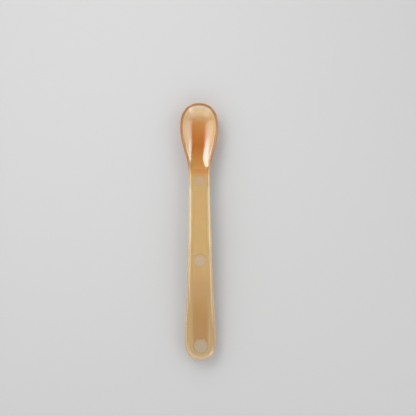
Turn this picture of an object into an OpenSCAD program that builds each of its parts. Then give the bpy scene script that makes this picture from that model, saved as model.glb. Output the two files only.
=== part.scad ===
// Soft feeding spoon for a baby: a soft translucent skin that forms the bowl and wraps
// a hard core in the handle. It lies bowl up, tip towards +Y, on the plane z = 0.
// Stations are distances from the tip of the bowl, measured along the spoon.

/* [Overall] */
// Length from the tip of the bowl to the end of the handle
spoon_length = 145; // [125:1:170]
// Greatest width of the bowl
bowl_width = 21.5; // [18:0.1:28]
// Width at the narrow neck
neck_width = 11.9; // [11:0.1:15]
// Width of the handle at its middle boss
middle_width = 13.8; // [12.5:0.1:18]
// Greatest width of the grip
grip_width = 17.5; // [14.5:0.1:22]

/* [Stations] */
// Distance from the tip to the widest place of the bowl
bowl_nose = 13.2; // [10:0.1:17]
// Distance from the tip to the crease where the hollow of the bowl ends
crease_at = 37.2; // [32:0.1:43]
// Distance from the tip to where the neck reaches its least width
neck_at = 41; // [38:0.1:50]
// Distance from the tip to where the handle starts to widen
flare_at = 52; // [51:0.1:66]
// Distance from the tip to the highest place of the handle
arch_at = 65; // [55:1:78]
// Length of the flat foot under the grip, from where it starts to the end of the grip
foot_length = 24; // [18:1:32]
// Length of the rounded end of the grip
end_nose = 9; // [8.4:0.1:12]

/* [Side view] */
// Depth of the hollow of the bowl
bowl_depth = 4.7; // [4.2:0.1:5.8]
// Wall under the deepest place of the bowl
floor_wall = 1.6; // [1.3:0.1:2]
// Rise of the rim from the widest place of the bowl to its tip
tip_rise = 0.5; // [0:0.1:1]
// Rise of the top face from the rim of the bowl to the crease
crease_rise = 1.3; // [0.8:0.1:1.8]
// Rise of the top face from the crease to the highest place of the handle
arch_rise = 1.5; // [0.9:0.1:2.2]
// Thickness of the spoon at the crease
crease_thickness = 4.3; // [3.8:0.1:5.2]
// Thickness at the highest place of the handle
arch_thickness = 4; // [3.4:0.1:4.8]
// Thickness of the grip where its flat foot starts
grip_thickness = 7.4; // [6:0.1:9]
// Thickness at the end of the grip, before its edge is rounded
end_thickness = 6.2; // [5:0.1:7.5]

/* [Skin] */
// Width of the rim round the bowl, seen from above
rim_width = 1.3; // [0.9:0.05:1.6]
// Width of the flat land on top of the neck
neck_land = 9; // [7.5:0.1:10]
// Width of the flat land on the grip, above and below
grip_land = 10.4; // [8.5:0.1:12.5]
// Distance from the end of the flat land to the end of the grip
end_edge = 3.4; // [2.8:0.1:4.1]
// Half width of the lowest place under the bowl
keel_half = 1; // [0.8:0.1:1.4]
// Width of the underside of the grip before its flat foot is cut
foot_width = 8; // [6:0.1:9]
// Depth of the cut that makes the foot of the grip flat
foot_cut = 0.15; // [0.1:0.01:0.3]
// Skin over the top and under the bottom of the core
skin_wall = 0.9; // [0.7:0.05:1.05]

/* [Core] */
// Width of the core in the neck
core_width = 9; // [7.5:0.1:9.6]
// Step of the core at its shoulder, on each side
shoulder_step = 0.65; // [0.4:0.05:0.8]
// Distance from the shoulder of the core to the end of the grip
shoulder_from_end = 47.4; // [35:0.1:53]
// Skin past the end of the core
end_skin = 2.6; // [2.3:0.1:3]
// Bevel along the edges of the core
core_bevel = 0.35; // [0.25:0.05:0.45]
// Clearance between the core and the skin moulded round it
bond_gap = 0.02; // [0.01:0.01:0.05]

/* [Locating bosses] */
// Radius of the boss in the neck
front_boss_r = 2.65; // [2.2:0.05:3.1]
// Radius of the boss in the middle of the handle
middle_boss_r = 3.3; // [2.8:0.05:3.8]
// Radius of the boss near the end of the grip
rear_boss_r = 3.75; // [3.2:0.05:3.9]
// Distance from the tip to the front boss
front_boss_at = 44; // [42.5:0.1:50]
// Distance from the tip to the middle boss
middle_boss_at = 88.5; // [80:0.1:92]
// Distance from the end of the grip to the rear boss
rear_boss_from_end = 8.4; // [7.6:0.1:9.5]
// Depth of the boss ends below the skin around them
boss_recess = 0.12; // [0.08:0.01:0.2]

/* [Hidden] */

// Colours
skin_colour = [0.80, 0.50, 0.20, 0.8];
core_colour = [0.90, 0.76, 0.56];

// Heights above the table, worked out from the thicknesses
rim_height = bowl_depth + floor_wall;
tip_height = rim_height + tip_rise;
crease_height = rim_height + crease_rise;
arch_height = crease_height + arch_rise;
end_at = spoon_length - end_nose;
foot_at = spoon_length - foot_length;
shoulder_at = spoon_length - shoulder_from_end;
rear_boss_at = spoon_length - rear_boss_from_end;
cut_overrun = 1;

// The lowest place of the bowl runs level this far, as a share of the bowl's nose
keel_share = 0.28;

// Height of the top face and of the underside along the spoon: station, height
top_line = [
    [0, tip_height],
    [bowl_nose, rim_height],
    [crease_at, crease_height],
    [arch_at, arch_height],
    [foot_at, grip_thickness],
    [spoon_length, end_thickness]
];
under_line = [
    [0, 0],
    [bowl_nose * (1 + keel_share), 0],
    [crease_at, crease_height - crease_thickness],
    [arch_at, arch_height - arch_thickness],
    [foot_at, -foot_cut],
    [spoon_length, -foot_cut]
];

// Width of the handle along the spoon: station, width
handle_line = [
    [flare_at, neck_width],
    [middle_boss_at, middle_width],
    [end_at, grip_width]
];

// Roundness of the outlines: 2 is an ellipse, and more is squarer
nose_power = 2.3;
belly_power = 2.2;
// The hollow rises with this power of the way out: round in the bowl, flatter at the bottom of the ramp
bowl_hollow_power = 2.6;
ramp_hollow_power = 4.5;
// Lean of the curve from the bowl to the neck, as a power of the way along it
shoulder_lean = 1.04;
// Height of the widest place of the side, as a share of the thickness
side_share = 0.5;
// Way from the edge of the land to the edge of the spoon at which the crown of the rim lies
rim_crown_share = 0.72;
land_crown_share = 0.1;
// Depth of the hollow over which the inner edge of the rim fades out, as a share of the full depth
rim_fade_share = 0.25;
// Where the side starts to grow to its full height, as a share of the way from the bowl to the neck
side_from_share = 0.35;
// Distance over which the core's shoulder runs out, as a share of its step
shoulder_run_share = 1.5;
// Rounded rear end of the core, as a share of the rounded end of the grip
core_round_share = 0.7;
// The flat end face of the core lies a little before its nose, so that it never comes to a point
core_tip_share = 0.06;

// Numbers of facets
nose_steps = 11;
bowl_steps = 12;
handle_steps = 32;
hollow_steps = 8;
rim_steps = 3;
side_steps = 4;
belly_steps = 7;
core_front_steps = 26;
shoulder_steps = 3;
core_rear_steps = 13;
core_end_steps = 8;
core_corners = 8;
boss_fn = 96;

function mix(a, b, share) = a + (b - a) * share;
function clamp(x) = max(0, min(1, x));
function ease(x) = (1 - cos(180 * clamp(x))) / 2;
function to_y(s) = spoon_length / 2 - s;

// A smooth curve through a line's points that never overshoots them
function slope(line, i) = (line[i + 1][1] - line[i][1]) / (line[i + 1][0] - line[i][0]);
function tangent(line, i) =
    i == 0 || i == len(line) - 1 ? 0
    : slope(line, i - 1) * slope(line, i) <= 0 ? 0
    : 2 * slope(line, i - 1) * slope(line, i) / (slope(line, i - 1) + slope(line, i));
function span_of(line, s, i = 0) =
    i >= len(line) - 2 || s < line[i + 1][0] ? i : span_of(line, s, i + 1);
function hermite(line, s, i) =
    let (
        run = line[i + 1][0] - line[i][0],
        t = clamp((s - line[i][0]) / run)
    )
    line[i][1] * (1 + 2 * t) * pow(1 - t, 2)
    + line[i + 1][1] * t * t * (3 - 2 * t)
    + run * (tangent(line, i) * t * pow(1 - t, 2) - tangent(line, i + 1) * t * t * (1 - t));
function along(line, s) = hermite(line, s, span_of(line, s));

function top_z(s) = along(top_line, s);
function under_z(s) = along(under_line, s);
// The underside once the foot is cut flat at the table
function bottom_z(s) = max(0, under_z(s));

// Half widths at a station between the bowl's widest place and the rounded end
function outer_half(s) =
    s < flare_at
    ? mix(bowl_width, neck_width,
          ease(pow(clamp((s - bowl_nose) / (neck_at - bowl_nose)), shoulder_lean))) / 2
    : along(handle_line, s) / 2;
function land_half(s) =
    s < flare_at
    ? outer_half(s)
      - mix(rim_width, (neck_width - neck_land) / 2, ease((s - bowl_nose) / (neck_at - bowl_nose)))
    : mix(neck_land, grip_land, ease((s - flare_at) / (end_at - flare_at))) / 2;
function foot_half(s) =
    s < flare_at
    ? mix(keel_half, foot_width / 2, ease((s - bowl_nose) / (neck_at - bowl_nose)))
    : foot_width / 2;

// Depth of the hollow along its middle
function hollow_depth(s) =
    s <= bowl_nose ? bowl_depth
    : s >= crease_at ? 0
    : bowl_depth * cos(90 * (s - bowl_nose) / (crease_at - bowl_nose));
function hollow_power(s) =
    mix(bowl_hollow_power, ramp_hollow_power, pow(clamp((s - bowl_nose) / (crease_at - bowl_nose)), 2));
// How far the section is still that of the bowl: 1 with a rim, 0 with a flat land
function rim_part(s) = ease(hollow_depth(s) / (rim_fade_share * bowl_depth));
// How far the side has grown from the rim's edge to the handle's full height
function side_part(s) =
    ease((s - mix(bowl_nose, neck_at, side_from_share))
         / (neck_at - mix(bowl_nose, neck_at, side_from_share)));
function edge_drop(s) = mix(rim_width / 2, side_share * (top_z(s) - under_z(s)), side_part(s));

// A point of a quarter of a rounded outline: 0 degrees is its side and 90 its nose
function quarter(a, power) = [pow(cos(a), 2 / power), pow(sin(a), 2 / power)];
// A ray runs from the spine out to the edge: station on the spine, then edge, land and foot as [x, station]
function nose_ray(a) =
    let (q = quarter(a, nose_power))
    [
        bowl_nose,
        [bowl_width / 2 * q[0], bowl_nose * (1 - q[1])],
        [(bowl_width / 2 - rim_width) * q[0], bowl_nose - (bowl_nose - rim_width) * q[1]],
        [keel_half * q[0], bowl_nose - keel_half * q[1]]
    ];
function side_ray(s) = [s, [outer_half(s), s], [land_half(s), s], [foot_half(s), s]];
function end_ray(a) =
    let (
        q = quarter(a, nose_power),
        reach = end_nose - end_edge
    )
    [
        end_at,
        [grip_width / 2 * q[0], end_at + end_nose * q[1]],
        [grip_land / 2 * q[0], end_at + reach * q[1]],
        [foot_width / 2 * q[0], end_at + reach * q[1]]
    ];
function steps_between(a, b, count) = [for (i = [0:count - 1]) mix(a, b, i / count)];
rays = concat(
    [for (a = steps_between(90, 0, nose_steps)) nose_ray(a)],
    [for (s = steps_between(bowl_nose, crease_at, bowl_steps)) side_ray(s)],
    [for (s = steps_between(crease_at, end_at, handle_steps)) side_ray(s)],
    [for (i = [0:nose_steps]) end_ray(90 * i / nose_steps)]
);
last_ray = len(rays) - 1;

// A point of the section along a ray, from the middle of the top, over the rim and the side, to the foot
function between(ray, inner, outer, share) =
    let (a = inner == 0 ? [0, ray[0]] : ray[inner]) mix(a, ray[outer], share);
function hollow_point(ray, a) =
    let (
        p = between(ray, 0, 2, sin(a)),
        inner_edge = rim_part(ray[0]) * rim_width / 2,
        below_edge = max(0, hollow_depth(ray[0]) - inner_edge)
    )
    [p[0], p[1], top_z(p[1]) - inner_edge - below_edge * (1 - pow(sin(a), hollow_power(ray[0])))];
function crown_share(ray) = mix(land_crown_share, rim_crown_share, rim_part(ray[0]));
function rim_point(ray, a) =
    let (p = between(ray, 2, 1, crown_share(ray) * (1 - cos(a))))
    [p[0], p[1], top_z(p[1]) - rim_part(ray[0]) * rim_width / 2 * (1 - sin(a))];
function side_point(ray, a) =
    let (p = between(ray, 2, 1, mix(crown_share(ray), 1, sin(a))))
    [p[0], p[1], top_z(p[1]) - edge_drop(ray[0]) * (1 - cos(a))];
function belly_point(ray, a) =
    let (
        p = between(ray, 3, 1, pow(cos(a), 2 / belly_power)),
        edge_z = top_z(ray[1][1]) - edge_drop(ray[0])
    )
    [p[0], p[1], mix(edge_z, under_z(p[1]), pow(sin(a), 2 / belly_power))];
function foot_point(ray, share) =
    let (p = between(ray, 0, 3, share)) [p[0], p[1], under_z(p[1])];

function section(ray) = concat(
    [for (i = [1:hollow_steps]) hollow_point(ray, 90 * i / hollow_steps)],
    [for (i = [1:rim_steps]) rim_point(ray, 90 * i / rim_steps)],
    [for (i = [1:side_steps]) side_point(ray, 90 * i / side_steps)],
    [for (i = [1:belly_steps]) belly_point(ray, 90 * i / belly_steps)],
    [foot_point(ray, 0.5)]
);

// Every ray has the same rings, and the left half mirrors the right
right_half = [for (ray = rays) section(ray)];
ring_size = 2 * last_ray;
ring_count = len(right_half[0]);
function placed(p, side) = [side * p[0], to_y(p[1]), p[2]];
shell_points = [
    for (ring = [0:ring_count - 1])
        for (i = [0:ring_size - 1])
            i <= last_ray ? placed(right_half[i][ring], 1) : placed(right_half[ring_size - i][ring], -1)
];
shell_walls = [
    for (ring = [0:ring_count - 2])
        for (i = [0:ring_size - 1])
            let (a = ring * ring_size + i, b = ring * ring_size + (i + 1) % ring_size)
            each [[a, b + ring_size, b], [a, a + ring_size, b + ring_size]]
];
// A ring is closed by strips from each ray to its mirrored one
function across(ring, i) = ring * ring_size + (ring_size - i) % ring_size;
function closing(ring, flip) = [
    for (i = [0:last_ray - 1])
        let (a = ring * ring_size + i, b = a + 1, c = across(ring, i + 1), d = across(ring, i))
        for (t = [[a, d, c], [a, c, b]])
            if (t[0] != t[1] && t[1] != t[2] && t[0] != t[2]) flip ? [t[2], t[1], t[0]] : t
];

module spoon_shape() {
    polyhedron(
        points = shell_points,
        faces = concat(shell_walls, closing(0, true), closing(ring_count - 1, false)),
        convexity = 6
    );
}

// Half width of the core, with its shoulder and its rounded rear end
core_to = spoon_length - end_skin;
core_round = core_round_share * end_nose;
core_round_at = core_to - core_round;
shoulder_run = shoulder_run_share * shoulder_step;
function core_half(s) =
    let (
        wide = core_width / 2 + shoulder_step * ease((s - shoulder_at) / shoulder_run),
        way = clamp((s - core_round_at) / core_round)
    )
    wide * pow(1 - pow(way, nose_power), 1 / nose_power);
core_stations = concat(
    steps_between(crease_at, shoulder_at, core_front_steps),
    steps_between(shoulder_at, shoulder_at + shoulder_run, shoulder_steps),
    steps_between(shoulder_at + shoulder_run, core_round_at, core_rear_steps),
    [for (i = [0:core_end_steps])
        core_round_at + core_round * sin(90 * i / core_end_steps) * (1 - core_tip_share)]
);
// A section of the core, drawn in by a gap: its four corners are bevelled
function core_section(s, gap) =
    let (
        half = core_half(s) - gap,
        high = top_z(s) - skin_wall - gap,
        low = bottom_z(s) + skin_wall + gap
    )
    [for (c = [[1, high, -1], [-1, high, -1], [-1, low, 1], [1, low, 1]])
        let (
            flat = [c[0] * (half - core_bevel), to_y(s), c[1]],
            wall = [c[0] * half, to_y(s), c[1] + c[2] * core_bevel]
        )
        each (c[0] * c[2] < 0 ? [wall, flat] : [flat, wall])];

module core_bar(gap) {
    count = len(core_stations);
    end_gaps = [for (k = [0:count - 1]) k == 0 ? gap : k == count - 1 ? -gap : 0];
    polyhedron(
        points = [for (k = [0:count - 1]) each core_section(core_stations[k] + end_gaps[k], gap)],
        faces = concat(
            [for (k = [0:count - 2]) for (i = [0:core_corners - 1])
                let (a = k * core_corners + i, b = k * core_corners + (i + 1) % core_corners)
                each [[a, a + core_corners, b + core_corners], [a, b + core_corners, b]]],
            [[for (i = [0:core_corners - 1]) i]],
            [[for (i = [core_corners - 1:-1:0]) (count - 1) * core_corners + i]]
        ),
        convexity = 4
    );
}

// The bosses stand square to the top face and rise from the middle of the core
module boss(at, r, recess) {
    slope_there = (top_z(at + r) - top_z(at - r)) / (2 * r);
    half_thickness = (top_z(at) - bottom_z(at)) / 2;
    translate([0, to_y(at), top_z(at)])
        rotate([-atan(slope_there), 0, 0])
            translate([0, 0, -half_thickness])
                cylinder(h = half_thickness - recess, r = r, $fn = boss_fn);
}

// A negative recess carries the bosses past the top face
module bosses(gap, recess) {
    boss(front_boss_at, front_boss_r - gap, recess);
    boss(middle_boss_at, middle_boss_r - gap, recess);
    boss(rear_boss_at, rear_boss_r - gap, recess);
}

module below_table() {
    translate([-bowl_width, -spoon_length, -spoon_length])
        cube([2 * bowl_width, 2 * spoon_length, spoon_length]);
}

module handle_core() {
    color(core_colour) union() {
        core_bar(bond_gap);
        bosses(bond_gap, boss_recess);
    }
}

module soft_skin() {
    color(skin_colour) difference() {
        spoon_shape();
        below_table();
        core_bar(0);
        bosses(0, -cut_overrun);
    }
}

soft_skin();
handle_core();
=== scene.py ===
import math
import bmesh
import bpy
from mathutils import Matrix, Vector


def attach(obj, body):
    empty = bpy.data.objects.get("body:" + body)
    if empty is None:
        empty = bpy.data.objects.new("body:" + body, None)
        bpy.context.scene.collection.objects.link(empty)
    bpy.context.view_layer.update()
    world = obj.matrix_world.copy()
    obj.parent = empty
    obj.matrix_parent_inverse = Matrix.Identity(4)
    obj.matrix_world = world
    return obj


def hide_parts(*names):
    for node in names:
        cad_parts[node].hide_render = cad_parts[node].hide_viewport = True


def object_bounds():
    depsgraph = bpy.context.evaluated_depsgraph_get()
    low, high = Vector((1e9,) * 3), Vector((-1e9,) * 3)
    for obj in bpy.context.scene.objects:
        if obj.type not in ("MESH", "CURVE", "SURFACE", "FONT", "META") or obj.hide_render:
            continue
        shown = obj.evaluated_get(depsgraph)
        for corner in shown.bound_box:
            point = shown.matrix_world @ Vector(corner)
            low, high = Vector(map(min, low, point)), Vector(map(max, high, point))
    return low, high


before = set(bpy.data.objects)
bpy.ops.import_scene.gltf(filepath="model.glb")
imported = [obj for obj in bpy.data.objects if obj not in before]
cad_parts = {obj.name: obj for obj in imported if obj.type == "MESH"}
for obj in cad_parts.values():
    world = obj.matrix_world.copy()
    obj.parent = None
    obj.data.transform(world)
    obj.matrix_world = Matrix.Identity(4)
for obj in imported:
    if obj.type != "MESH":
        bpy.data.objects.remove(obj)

cad_low, cad_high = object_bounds()
mm = 0.001


# The outside of the skin
# One moulding of soft translucent amber elastomer. It forms the bowl and wraps the core in the handle.
# It is injected round the core in one shot, so outside it has no seam, only a rounded edge all round.

# Stations are distances in mm from the tip of the bowl, measured along the spoon.
spoon_length = (cad_high.y - cad_low.y) / mm
bowl_width = (cad_high.x - cad_low.x) / mm
neck_width = 11.9
middle_width = 13.8
grip_width = 17.5
bowl_nose = 13.2
crease_at = 37.2
neck_at = 41
flare_at = 52
arch_at = 65
grip_at = 100
foot_length = 24
end_nose = 9
rim_width = 1.3
neck_land = 9
grip_land = 10.4
end_edge = 3.4
keel_half = 1
keel_share = 0.28
foot_width = 8
foot_cut = 0.15
bowl_depth = 4.7
tip_rise = 0.5
rim_height = 6.3
crease_height = 7.6
arch_height = cad_high.z / mm
crease_thickness = 4.3
arch_thickness = 4
grip_thickness = 7.4
end_thickness = 6.2
front_boss_at, front_boss_r = 44, 2.65
middle_boss_at, middle_boss_r = 88.5, 3.3
rear_boss_at, rear_boss_r = spoon_length - 8.4, 3.75
end_at = spoon_length - end_nose
foot_at = spoon_length - foot_length
top_line = [
    (0, rim_height + tip_rise),
    (bowl_nose, rim_height),
    (crease_at, crease_height),
    (arch_at, arch_height),
    (foot_at, grip_thickness),
    (spoon_length, end_thickness),
]
under_line = [
    (0, 0),
    (bowl_nose * (1 + keel_share), 0),
    (crease_at, crease_height - crease_thickness),
    (arch_at, arch_height - arch_thickness),
    (foot_at, -foot_cut),
    (spoon_length, -foot_cut),
]
handle_line = [(flare_at, neck_width), (middle_boss_at, middle_width), (end_at, grip_width)]
nose_power = 2.3
bowl_hollow_power = 2.6
ramp_hollow_power = 4.5
belly_power = 2.2
shoulder_lean = 1.04
side_share = 0.5
rim_crown_share = 0.72
land_crown_share = 0.1
rim_fade_share = 0.25
side_from_share = 0.35


def mix(a, b, share):
    return a + (b - a) * share


def clamp(x):
    return max(0, min(1, x))


def ease(x):
    return (1 - math.cos(math.pi * clamp(x))) / 2


def fade(x, start, end):
    """From 0 at the start to 1 at the end, eased at both."""
    return ease((x - start) / (end - start))


def along(line, station):
    """A smooth curve through a line's points that never overshoots them."""
    slopes = [(b[1] - a[1]) / (b[0] - a[0]) for a, b in zip(line, line[1:])]
    tangents = [0]
    for before, after in zip(slopes, slopes[1:]):
        tangents.append(2 * before * after / (before + after) if before * after > 0 else 0)
    tangents.append(0)
    span = max([k for k in range(len(slopes)) if line[k][0] <= station], default=0)
    (from_s, from_z), (to_s, to_z) = line[span], line[span + 1]
    t = clamp((station - from_s) / (to_s - from_s))
    lean = tangents[span] * t * (1 - t) ** 2 - tangents[span + 1] * t * t * (1 - t)
    return from_z * (1 + 2 * t) * (1 - t) ** 2 + to_z * t * t * (3 - 2 * t) + (to_s - from_s) * lean


def outer_half(s):
    if s < flare_at:
        way = clamp((s - bowl_nose) / (neck_at - bowl_nose)) ** shoulder_lean
        return mix(bowl_width, neck_width, ease(way)) / 2
    return along(handle_line, s) / 2


def land_half(s):
    if s < flare_at:
        edge = mix(rim_width, (neck_width - neck_land) / 2, fade(s, bowl_nose, neck_at))
        return outer_half(s) - edge
    return mix(neck_land, grip_land, fade(s, flare_at, end_at)) / 2


def foot_half(s):
    return mix(keel_half, foot_width / 2, fade(s, bowl_nose, neck_at))


def hollow_depth(s):
    way = clamp((s - bowl_nose) / (crease_at - bowl_nose))
    return bowl_depth * math.cos(math.pi / 2 * way) if way < 1 else 0


def hollow_power(s):
    way = clamp((s - bowl_nose) / (crease_at - bowl_nose))
    return mix(bowl_hollow_power, ramp_hollow_power, way**2)


def bowl_share(s):
    """1 where the section has the bowl's rim, and 0 where it has the handle's flat land."""
    return fade(hollow_depth(s), 0, rim_fade_share * bowl_depth)


def quarter(angle, power):
    """A quarter of a rounded outline: 0 degrees is its side, and 90 its nose."""
    angle = math.radians(angle)
    return max(0, math.cos(angle)) ** (2 / power), max(0, math.sin(angle)) ** (2 / power)


# A ray runs outwards. It has points on the middle line, the outer edge, the land's edge and the foot's edge.
def nose_ray(angle):
    side, nose = quarter(angle, nose_power)
    return (
        (0, bowl_nose),
        (bowl_width / 2 * side, bowl_nose * (1 - nose)),
        ((bowl_width / 2 - rim_width) * side, bowl_nose - (bowl_nose - rim_width) * nose),
        (keel_half * side, bowl_nose - keel_half * nose),
    )


def side_ray(s):
    return (0, s), (outer_half(s), s), (land_half(s), s), (foot_half(s), s)


def end_ray(angle):
    side, nose = quarter(angle, nose_power)
    reach = end_nose - end_edge
    return (
        (0, end_at),
        (grip_width / 2 * side, end_at + end_nose * nose),
        (grip_land / 2 * side, end_at + reach * nose),
        (foot_width / 2 * side, end_at + reach * nose),
    )


def spread(a, b, count):
    return [mix(a, b, k / count) for k in range(count)]


# The net's columns are rays, from the tip to the grip's end, and its rows are rings, round the section.
# Two rays close together keep the crease crisp where the hollow ends.
nose_steps, bowl_steps, handle_steps = 30, 34, 84
hollow_steps, rim_steps, side_steps, belly_steps, foot_steps = 26, 7, 9, 16, 3
crease_round = 0.2
rays = [nose_ray(a) for a in spread(90, 0, nose_steps)]
rays += [side_ray(s) for s in spread(bowl_nose, crease_at - crease_round, bowl_steps)]
rays += [side_ray(s) for s in (crease_at - crease_round, crease_at)]
rays += [side_ray(s) for s in spread(crease_at + crease_round, end_at, handle_steps)]
rays += [end_ray(a) for a in spread(0, 90, nose_steps) + [90]]
rings = [("hollow", 90 * k / hollow_steps) for k in range(hollow_steps + 1)]
rings += [("rim", 90 * (k + 1) / rim_steps) for k in range(rim_steps)]
rings += [("side", 90 * (k + 1) / side_steps) for k in range(side_steps)]
rings += [("belly", 90 * (k + 1) / belly_steps) for k in range(belly_steps)]
rings += [("foot", 1 - (k + 1) / foot_steps) for k in range(foot_steps)]


def on_section(ray, ring):
    """A point of the skin's outside, from the middle of the top, over the rim, to the middle underneath."""
    spine, edge, land, foot = [Vector(p) for p in ray]
    part, step = ring
    turn = math.radians(step)
    crown = mix(land_crown_share, rim_crown_share, bowl_share(spine.y))
    round_edge = bowl_share(spine.y) * rim_width / 2
    thickness = along(top_line, spine.y) - along(under_line, spine.y)
    side_from = mix(bowl_nose, neck_at, side_from_share)
    drop = mix(rim_width / 2, side_share * thickness, fade(spine.y, side_from, neck_at))
    if part == "hollow":
        way = math.sin(turn)
        p = spine.lerp(land, way)
        below_edge = max(0, hollow_depth(spine.y) - round_edge)
        z = along(top_line, p.y) - round_edge - below_edge * (1 - way ** hollow_power(spine.y))
    elif part == "rim":
        p = land.lerp(edge, crown * (1 - math.cos(turn)))
        z = along(top_line, p.y) - round_edge * (1 - math.sin(turn))
    elif part == "side":
        p = land.lerp(edge, mix(crown, 1, math.sin(turn)))
        z = along(top_line, p.y) - drop * (1 - math.cos(turn))
    elif part == "belly":
        out, down = quarter(step, belly_power)
        p = foot.lerp(edge, out)
        z = mix(along(top_line, edge.y) - drop, along(under_line, p.y), down)
    else:
        p = spine.lerp(foot, step)
        z = along(under_line, p.y)
    return Vector((p.x, spoon_length / 2 - p.y, z)) * mm


# Tone of the amber along the spoon: 0 in the thick grip, more in the neck and the deep bowl, and 1 at the tip
tone_line = [
    (0, 1), (5, 0.95), (9.5, 0.89), (14, 0.8), (18.5, 0.69), (23, 0.62), (27.5, 0.55), (32, 0.47),
    (35.4, 0.41), (38.8, 0.3), (42, 0.22), (46, 0.2), (75, 0.2), (92, 0.16), (102, 0.1), (111, 0.06),
    (122, 0.005), (spoon_length, 0),
]
# Painted light and shade across the spoon, from a painted highlight on the pale band inside the bowl's rim to
# painted shade on the bowl's steep wall
rim_highlight_level = 0
shoulder_sheen_level = 0.1
unpainted_level = 0.2
wall_shade_level = 0.48
# Painted sheen on the handle's shoulders, beside its land, partly for their thinner amber; a lower value is
# paler
shoulder_sheen_line = [
    (0, 0.2), (41, 0.2), (50, 0.03), (75, 0.04), (90, 0.15), (98, 0.15), (110, 0.1), (122, 0.1),
    (136, 0.055), (spoon_length, 0.055),
]
# The bowl's wall is steep, and gets painted shade, from a station on, as long as the hollow keeps a share of
# its depth.
steep_at = 30
steep_share = 0.7
# Where the painted shade on the wall, the painted sheen on the shoulder and the painted highlight band start
# and end, from 0 in the hollow's middle to 1 at its edge
wall_start, wall_end, wall_shift = 0.3684, 0.6316, 0.1316
shoulder_start, shoulder_end = 0.6154, 1
pale_start, pale_end = 0.8, 0.925


def light_and_shade_at(ray, ring):
    """Painted light and shade: painted shade where a steep wall turns the light away, painted sheen where a
    thin shoulder lets it through, and a painted highlight inside the bowl's rim.
    """
    part, step = ring
    spine_s, land_s = ray[0][1], ray[2][1]
    shoulder = along(shoulder_sheen_line, spine_s)
    if part != "hollow":
        return max(shoulder, shoulder_sheen_level) if spine_s > grip_at else shoulder
    way = math.sin(math.radians(step))
    lean = fade(mix(spine_s, land_s, way), 0, steep_at)
    lean *= fade(hollow_depth(spine_s), 0, steep_share * bowl_depth)
    in_bowl = mix(unpainted_level, wall_shade_level, lean * fade(way - wall_shift * lean, wall_start, wall_end))
    on_handle = mix(unpainted_level, shoulder, fade(way, shoulder_start, shoulder_end))
    inside = mix(on_handle, in_bowl, bowl_share(spine_s))
    return mix(inside, rim_highlight_level, bowl_share(spine_s) * fade(way, pale_start, pale_end))


# The rim's deep amber reaches inwards as a band, narrow round the bowl and wide beside the ramp to the neck.
# Outside it is weaker, weakest on the keel, and ends over the neck.
bowl_band, ramp_band = 0.022, 0.30
band_widens_at, band_wide_at = 27, 35
band_fade_share = 0.1
outside_share = 0.75
keel_amber_share = 0.4
outside_full_at, outside_gone_at = neck_at - 14, neck_at + 8


def rim_at(ray, ring):
    """Share of the rim's deep amber: all of it on the bowl's rim, and less and less towards the keel."""
    part, step = ring
    station = ray[0][1]
    outside = outside_share * fade(station, outside_gone_at, outside_full_at)
    if part == "hollow":
        way = math.sin(math.radians(step))
        band = mix(bowl_band, ramp_band, fade(station, band_widens_at, band_wide_at))
        return fade(hollow_depth(station), 0, band_fade_share * bowl_depth) * fade(way, 1 - band, 1)
    if part == "rim":
        return bowl_share(station)
    if part == "side":
        return mix(bowl_share(station), outside, step / 90)
    return outside * (mix(1, keel_amber_share, step / 90) if part == "belly" else keel_amber_share)


def new_object(name, bm):
    mesh = bpy.data.meshes.new(name)
    bm.to_mesh(mesh)
    bm.free()
    for face in mesh.polygons:
        face.use_smooth = True
    obj = bpy.data.objects.new(name, mesh)
    bpy.context.scene.collection.objects.link(obj)
    return obj


# A sheet of squares, from -1 to 1 each way, is laid on the right half, from the top's middle round to the
# underside's, and mirrored.
merge_gap = 0.0005 * mm
bm = bmesh.new()
tone_layer = bm.verts.layers.float.new("tone")
# The depth layer holds painted light and shade: highlights, shoulder sheen and wall shade.
light_and_shade_layer = bm.verts.layers.float.new("depth")
rim_layer = bm.verts.layers.float.new("rim")
across, around = len(rays) - 1, len(rings) - 1
bmesh.ops.create_grid(bm, x_segments=across, y_segments=around, size=1)
for vert in bm.verts:
    ray = rays[round((vert.co.x + 1) / 2 * across)]
    ring = rings[round((vert.co.y + 1) / 2 * around)]
    vert.co = on_section(ray, ring)
    vert[tone_layer] = along(tone_line, spoon_length / 2 - vert.co.y / mm)
    vert[light_and_shade_layer] = light_and_shade_at(ray, ring)
    vert[rim_layer] = rim_at(ray, ring)
bmesh.ops.mirror(bm, geom=bm.verts[:] + bm.edges[:] + bm.faces[:], axis="X", merge_dist=merge_gap)
bmesh.ops.remove_doubles(bm, verts=bm.verts, dist=merge_gap)

# The grip's underside is cut off level with the table, which leaves the flat foot.
grip = [v for v in bm.verts if v.co.y < 0]
grip_edges = [e for e in bm.edges if all(v.co.y < 0 for v in e.verts)]
grip_faces = [f for f in bm.faces if all(v.co.y < 0 for v in f.verts)]
cut = bmesh.ops.bisect_plane(
    bm, geom=grip + grip_edges + grip_faces, plane_co=(0, 0, 0), plane_no=(0, 0, -1), clear_outer=True
)
cut_edges = [e for e in cut["geom_cut"] if isinstance(e, bmesh.types.BMEdge)]
bmesh.ops.holes_fill(bm, edges=cut_edges)
bmesh.ops.recalc_face_normals(bm, faces=bm.faces)
skin = new_object("skin", bm)

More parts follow.
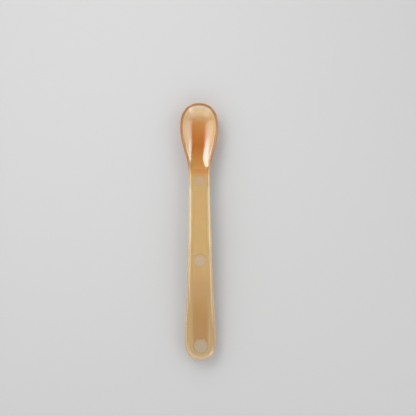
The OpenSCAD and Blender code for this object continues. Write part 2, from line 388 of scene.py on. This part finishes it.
# Three shallow round pockets in the top let the ends of the core's bosses show. They reach a little deeper than
# the ends lie, and widen upwards.
bosses = [(front_boss_at, front_boss_r), (middle_boss_at, middle_boss_r), (rear_boss_at, rear_boss_r)]
boss_sides = 128
boss_recess = 0.12
pocket_floor = 0.03
pocket_flare = 0.06
sharp_angle = 40
bm = bmesh.new()
for station, radius in bosses:
    rise = along(top_line, station + radius) - along(top_line, station - radius)
    tilt = Matrix.Rotation(-math.atan2(rise, 2 * radius), 4, "X")
    middle = Vector((0, spoon_length / 2 - station, along(top_line, station))) * mm
    bmesh.ops.create_cone(
        bm,
        cap_ends=True,
        segments=boss_sides,
        radius1=radius * mm,
        radius2=(radius + 2 * pocket_flare) * mm,
        depth=2 * (boss_recess + pocket_floor) * mm,
        matrix=Matrix.Translation(middle) @ tilt,
    )
cutter = new_object("cutter", bm)
pockets = skin.modifiers.new("pockets", "BOOLEAN")
pockets.operation = "DIFFERENCE"
pockets.object = cutter
whole = skin.evaluated_get(bpy.context.evaluated_depsgraph_get())
cut_mesh = bpy.data.meshes.new_from_object(whole)
skin.modifiers.clear()
skin.data = cut_mesh
cut_mesh.set_sharp_from_angle(angle=math.radians(sharp_angle))
bpy.data.objects.remove(cutter)
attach(skin, "root")
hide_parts("soft_skin")

# The tone gives the plain amber. The depth attribute lays painted light and shade over it by its alpha, and the
# rim covers both.
tone_stops = [
    (0, (0.65, 0.36, 0.105, 1)),
    (0.2, (0.89, 0.64, 0.30, 1)),
    (0.3, (0.83, 0.46, 0.15, 1)),
    (0.45, (0.71, 0.37, 0.098, 1)),
    (0.62, (0.69, 0.25, 0.03, 1)),
    (0.74, (0.83, 0.35, 0.075, 1)),
    (0.86, (0.90, 0.46, 0.125, 1)),
    (1, (0.88, 0.61, 0.23, 1)),
]
# Painted light and shade by depth: a pale painted highlight, a painted sheen for the shoulders, nothing at 0.2,
# then dark olive painted shade for the steep wall
light_and_shade_stops = [
    (0, (0.95, 0.78, 0.45, 0.9)),
    (0.1, (0.78, 0.55, 0.26, 0.8)),
    (0.19, (0.78, 0.55, 0.26, 0)),
    (0.21, (0.55, 0.60, 0.09, 0)),
    (0.35, (0.50, 0.52, 0.09, 0.35)),
    (0.48, (0.34, 0.33, 0.08, 0.428)),
]
rim_amber = (0.57, 0.28, 0.10, 1)


def set_stops(node, stops):
    while len(node.color_ramp.elements) < len(stops):
        node.color_ramp.elements.new(0.5)
    for element, (stop, colour) in zip(node.color_ramp.elements, stops):
        element.position = stop
        element.color = colour


amber = bpy.data.materials.new("amber")
amber.use_nodes = True
tree = amber.node_tree
shader = tree.nodes["Principled BSDF"]
place = tree.nodes.new("ShaderNodeTexCoord")
cloud = tree.nodes.new("ShaderNodeTexNoise")
cloud.inputs["Scale"].default_value = 140
cloud.inputs["Detail"].default_value = 3
tree.links.new(place.outputs["Object"], cloud.inputs["Vector"])
tone = tree.nodes.new("ShaderNodeAttribute")
tone.attribute_name = "tone"
drift = tree.nodes.new("ShaderNodeMath")
drift.operation = "MULTIPLY_ADD"
drift.inputs[1].default_value = 0.03
tree.links.new(cloud.outputs["Fac"], drift.inputs[0])
tree.links.new(tone.outputs["Fac"], drift.inputs[2])
tone_ramp = tree.nodes.new("ShaderNodeValToRGB")
set_stops(tone_ramp, tone_stops)
tree.links.new(drift.outputs[0], tone_ramp.inputs["Fac"])
# The depth attribute brings in the painted highlight, sheen and shade.
depth = tree.nodes.new("ShaderNodeAttribute")
depth.attribute_name = "depth"
light_and_shade_ramp = tree.nodes.new("ShaderNodeValToRGB")
set_stops(light_and_shade_ramp, light_and_shade_stops)
tree.links.new(depth.outputs["Fac"], light_and_shade_ramp.inputs["Fac"])
amber_with_painted_light = tree.nodes.new("ShaderNodeMix")
amber_with_painted_light.data_type = "RGBA"
tree.links.new(light_and_shade_ramp.outputs["Alpha"], amber_with_painted_light.inputs["Factor"])
tree.links.new(tone_ramp.outputs["Color"], amber_with_painted_light.inputs["A"])
tree.links.new(light_and_shade_ramp.outputs["Color"], amber_with_painted_light.inputs["B"])
rim = tree.nodes.new("ShaderNodeAttribute")
rim.attribute_name = "rim"
rim_mix = tree.nodes.new("ShaderNodeMix")
rim_mix.data_type = "RGBA"
rim_mix.inputs["B"].default_value = rim_amber
tree.links.new(rim.outputs["Fac"], rim_mix.inputs["Factor"])
tree.links.new(amber_with_painted_light.outputs["Result"], rim_mix.inputs["A"])
tree.links.new(rim_mix.outputs["Result"], shader.inputs["Base Color"])
gloss = tree.nodes.new("ShaderNodeMapRange")
gloss.inputs["To Min"].default_value = 0.06
gloss.inputs["To Max"].default_value = 0.12
tree.links.new(cloud.outputs["Fac"], gloss.inputs["Value"])
tree.links.new(gloss.outputs["Result"], shader.inputs["Roughness"])
ripple = tree.nodes.new("ShaderNodeTexNoise")
ripple.inputs["Scale"].default_value = 420
tree.links.new(place.outputs["Object"], ripple.inputs["Vector"])
bump = tree.nodes.new("ShaderNodeBump")
bump.inputs["Strength"].default_value = 0.12
bump.inputs["Distance"].default_value = 0.02 * mm
tree.links.new(ripple.outputs["Fac"], bump.inputs["Height"])
tree.links.new(bump.outputs["Normal"], shader.inputs["Normal"])
tree.links.new(bump.outputs["Normal"], shader.inputs["Coat Normal"])
shader.inputs["IOR"].default_value = 1.5
shader.inputs["Transmission Weight"].default_value = 0.3
shader.inputs["Subsurface Weight"].default_value = 1
shader.inputs["Subsurface Radius"].default_value = (1, 0.55, 0.2)
shader.inputs["Subsurface Scale"].default_value = 1.2 * mm
# The gloss is worn where the rim is handled and mouthed.
wear = tree.nodes.new("ShaderNodeMapRange")
wear.inputs["From Min"].default_value = 0.8
wear.inputs["To Min"].default_value = 1
wear.inputs["To Max"].default_value = 0.25
tree.links.new(rim.outputs["Fac"], wear.inputs["Value"])
tree.links.new(wear.outputs["Result"], shader.inputs["Coat Weight"])
shader.inputs["Coat Roughness"].default_value = 0.03
shader.inputs["Coat IOR"].default_value = 2.1
skin.data.materials.append(amber)


# The core
# A bar of hard, pale, uncoloured plastic, moulded first. The skin is moulded round it and holds it fast.
# Only the dull ends of its three locating bosses come to the surface. Its shape is the CAD node's own.
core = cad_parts["handle_core"]
milky_stops = [
    (0.13, (0.44, 0.34, 0.23, 1)),
    (0.46, (0.51, 0.375, 0.24, 1)),
    (0.77, (0.49, 0.32, 0.19, 1)),
]
milky = bpy.data.materials.new("milky")
milky.use_nodes = True
tree = milky.node_tree
shader = tree.nodes["Principled BSDF"]
place = tree.nodes.new("ShaderNodeTexCoord")
grain = tree.nodes.new("ShaderNodeTexNoise")
grain.inputs["Scale"].default_value = 900
grain.inputs["Detail"].default_value = 4
tree.links.new(place.outputs["Object"], grain.inputs["Vector"])
apart = tree.nodes.new("ShaderNodeSeparateXYZ")
tree.links.new(place.outputs["Object"], apart.inputs["Vector"])
reach = tree.nodes.new("ShaderNodeMapRange")
reach.inputs["From Min"].default_value = -spoon_length / 2 * mm
reach.inputs["From Max"].default_value = spoon_length / 2 * mm
tree.links.new(apart.outputs["Y"], reach.inputs["Value"])
speckle = tree.nodes.new("ShaderNodeMath")
speckle.operation = "MULTIPLY_ADD"
speckle.inputs[1].default_value = 0.15
tree.links.new(grain.outputs["Fac"], speckle.inputs[0])
tree.links.new(reach.outputs["Result"], speckle.inputs[2])
tint = tree.nodes.new("ShaderNodeValToRGB")
set_stops(tint, milky_stops)
tree.links.new(speckle.outputs[0], tint.inputs["Fac"])
tree.links.new(tint.outputs["Color"], shader.inputs["Base Color"])
dull = tree.nodes.new("ShaderNodeMapRange")
dull.inputs["To Min"].default_value = 0.4
dull.inputs["To Max"].default_value = 0.6
tree.links.new(grain.outputs["Fac"], dull.inputs["Value"])
tree.links.new(dull.outputs["Result"], shader.inputs["Roughness"])
bump = tree.nodes.new("ShaderNodeBump")
bump.inputs["Strength"].default_value = 0.2
bump.inputs["Distance"].default_value = 0.02 * mm
tree.links.new(grain.outputs["Fac"], bump.inputs["Height"])
tree.links.new(bump.outputs["Normal"], shader.inputs["Normal"])
core.data.materials.clear()
core.data.materials.append(milky)


# Camera
# It looks straight down, as the photograph does, with the spoon turned a little in the frame.
# The picture's scale fixes how far off it stands.
photo_side = 416
mm_per_pixel = 0.5611
camera_turn = -0.4
camera_data = bpy.data.cameras.new("camera")
camera_data.lens = 90
camera_data.sensor_width = 36
camera = bpy.data.objects.new("camera", camera_data)
bpy.context.scene.collection.objects.link(camera)
distance = mm_per_pixel * photo_side * mm / camera_data.sensor_width * camera_data.lens
aim = Vector((4.66, 13.46, 7.0)) * mm
camera.location = aim + Vector((0, 0, distance))
camera.rotation_euler = (0, 0, math.radians(camera_turn))
bpy.context.scene.camera = camera


# Floor
# A plain pale matt board, wide enough for every view. It is stage, and no part of the spoon.
# Further out than the lamps reach, it is made to look as evenly pale as it is round the spoon.
floor_half = 2
lit_reach = 0.2
unlit_reach = 0.4
pale_glow = 0.64


def rays_of(tree, first, *others):
    """1 for rays of the kinds that are named, and 0 for all others."""
    light_path = tree.nodes.new("ShaderNodeLightPath")
    total = light_path.outputs[first]
    for kind in others:
        add = tree.nodes.new("ShaderNodeMath")
        add.operation = "ADD"
        add.use_clamp = True
        tree.links.new(total, add.inputs[0])
        tree.links.new(light_path.outputs[kind], add.inputs[1])
        total = add.outputs[0]
    return total


bm = bmesh.new()
bmesh.ops.create_grid(bm, x_segments=1, y_segments=1, size=floor_half)
floor = new_object("floor", bm)
board = bpy.data.materials.new("board")
board.use_nodes = True
tree = board.node_tree
shader = tree.nodes["Principled BSDF"]
shader.inputs["Base Color"].default_value = (0.60, 0.60, 0.60, 1)
shader.inputs["Roughness"].default_value = 0.9
place = tree.nodes.new("ShaderNodeTexCoord")
reach = tree.nodes.new("ShaderNodeVectorMath")
reach.operation = "LENGTH"
tree.links.new(place.outputs["Object"], reach.inputs[0])
outer = tree.nodes.new("ShaderNodeMapRange")
outer.interpolation_type = "SMOOTHSTEP"
outer.inputs["From Min"].default_value = lit_reach
outer.inputs["From Max"].default_value = unlit_reach
tree.links.new(reach.outputs["Value"], outer.inputs["Value"])
seen = tree.nodes.new("ShaderNodeMath")
seen.operation = "MULTIPLY"
tree.links.new(outer.outputs["Result"], seen.inputs[0])
tree.links.new(rays_of(tree, "Is Camera Ray", "Is Glossy Ray", "Is Transmission Ray"), seen.inputs[1])
pale = tree.nodes.new("ShaderNodeEmission")
pale.inputs["Strength"].default_value = pale_glow
cover = tree.nodes.new("ShaderNodeMixShader")
tree.links.new(seen.outputs[0], cover.inputs[0])
tree.links.new(shader.outputs[0], cover.inputs[1])
tree.links.new(pale.outputs[0], cover.inputs[2])
tree.links.new(cover.outputs[0], tree.nodes["Material Output"].inputs["Surface"])
floor.data.materials.append(board)


# Light
# A tent of softboxes, dim at its open top. Its walls light the spoon evenly, and its keys, wings and corners
# draw the lights in the bowl and along the handle. Seen directly or through the spoon, the world is pale.
world_glow = 0.1
world = bpy.data.worlds.new("world")
bpy.context.scene.world = world
world.use_nodes = True
tree = world.node_tree
background = tree.nodes["Background"]
background.inputs["Color"].default_value = (1, 1, 1, 1)
strength = tree.nodes.new("ShaderNodeMath")
strength.operation = "MULTIPLY_ADD"
strength.inputs[1].default_value = pale_glow - world_glow
strength.inputs[2].default_value = world_glow
tree.links.new(rays_of(tree, "Is Camera Ray", "Is Transmission Ray"), strength.inputs[0])
tree.links.new(strength.outputs[0], background.inputs["Strength"])


def softbox(name, middle, shine, top, width, length, glow, beam=180):
    """An area lamp as bright as `glow` straight ahead, which fades to nothing at the edge of its beam."""
    half = math.radians(beam / 2)
    share = (math.tan(half) - half) / math.tan(half) if beam < 180 else 1
    data = bpy.data.lights.new(name, "AREA")
    data.shape = "RECTANGLE"
    data.size = width
    data.size_y = length
    data.spread = 2 * half
    data.energy = glow * math.pi * width * length * share
    lamp = bpy.data.objects.new(name, data)
    back = -Vector(shine).normalized()
    side = Vector(top).cross(back).normalized()
    turn = Matrix((side, back.cross(side), back)).transposed().to_4x4()
    lamp.matrix_world = Matrix.Translation(middle) @ turn
    bpy.context.scene.collection.objects.link(lamp)


# Each lamp has its middle, the way it shines, the way of its top edge, and its width and length in metres.
softbox("left_wall", (-0.305, 0.186, 0.256), (0.786, -0.415, -0.459), (0.454, -0.116, 0.883),
        width=0.65, length=0.49, glow=2.4, beam=94)
softbox("right_wall", (0.358, 0.077, 0.221), (-0.834, -0.323, -0.447), (-0.482, 0.032, 0.876),
        width=0.42, length=0.40, glow=2.03, beam=94)
softbox("left_key", (-0.212, 0.287, 0.274), (0.222, -0.786, -0.576), (0.354, -0.486, 0.799),
        width=0.35, length=0.17, glow=4.2, beam=84)
softbox("right_key", (0.35, 0.293, 0.21), (-0.757, -0.536, -0.445), (0, 0, 1),
        width=0.10, length=0.26, glow=1.35)
softbox("front_wall", (0, -0.405, 0.35), (0, 1, 0), (0, 0, 1),
        width=2.6, length=0.7, glow=0.5)
softbox("front_key", (0, -0.37, 0.46), (0, 0.866, -0.5), (0, 0, 1),
        width=1.6, length=1.0, glow=0.68, beam=112)
softbox("left_wing", (-0.25, -0.15, 0.26), (0.894, 0, -0.447), (0.447, 0, 0.894),
        width=0.38, length=0.36, glow=0.18)
softbox("right_wing", (0.25, -0.15, 0.26), (-0.894, 0, -0.447), (-0.447, 0, 0.894),
        width=0.38, length=0.36, glow=0.28)
softbox("left_corner", (-0.235, -0.235, 0.17), (0.64, 0.62, -0.454), (0, 0, 1),
        width=0.22, length=0.26, glow=0.3)
softbox("right_corner", (0.205, -0.262, 0.108), (-0.58, 0.74, -0.3), (0, 0, 1),
        width=0.12, length=0.18, glow=1.0)
softbox("back_wall", (0, 0.42, 0.15), (0, -1, -0.2), (0, 0, 1),
        width=0.45, length=0.28, glow=2.4)

bpy.context.scene.view_settings.view_transform = "Standard"
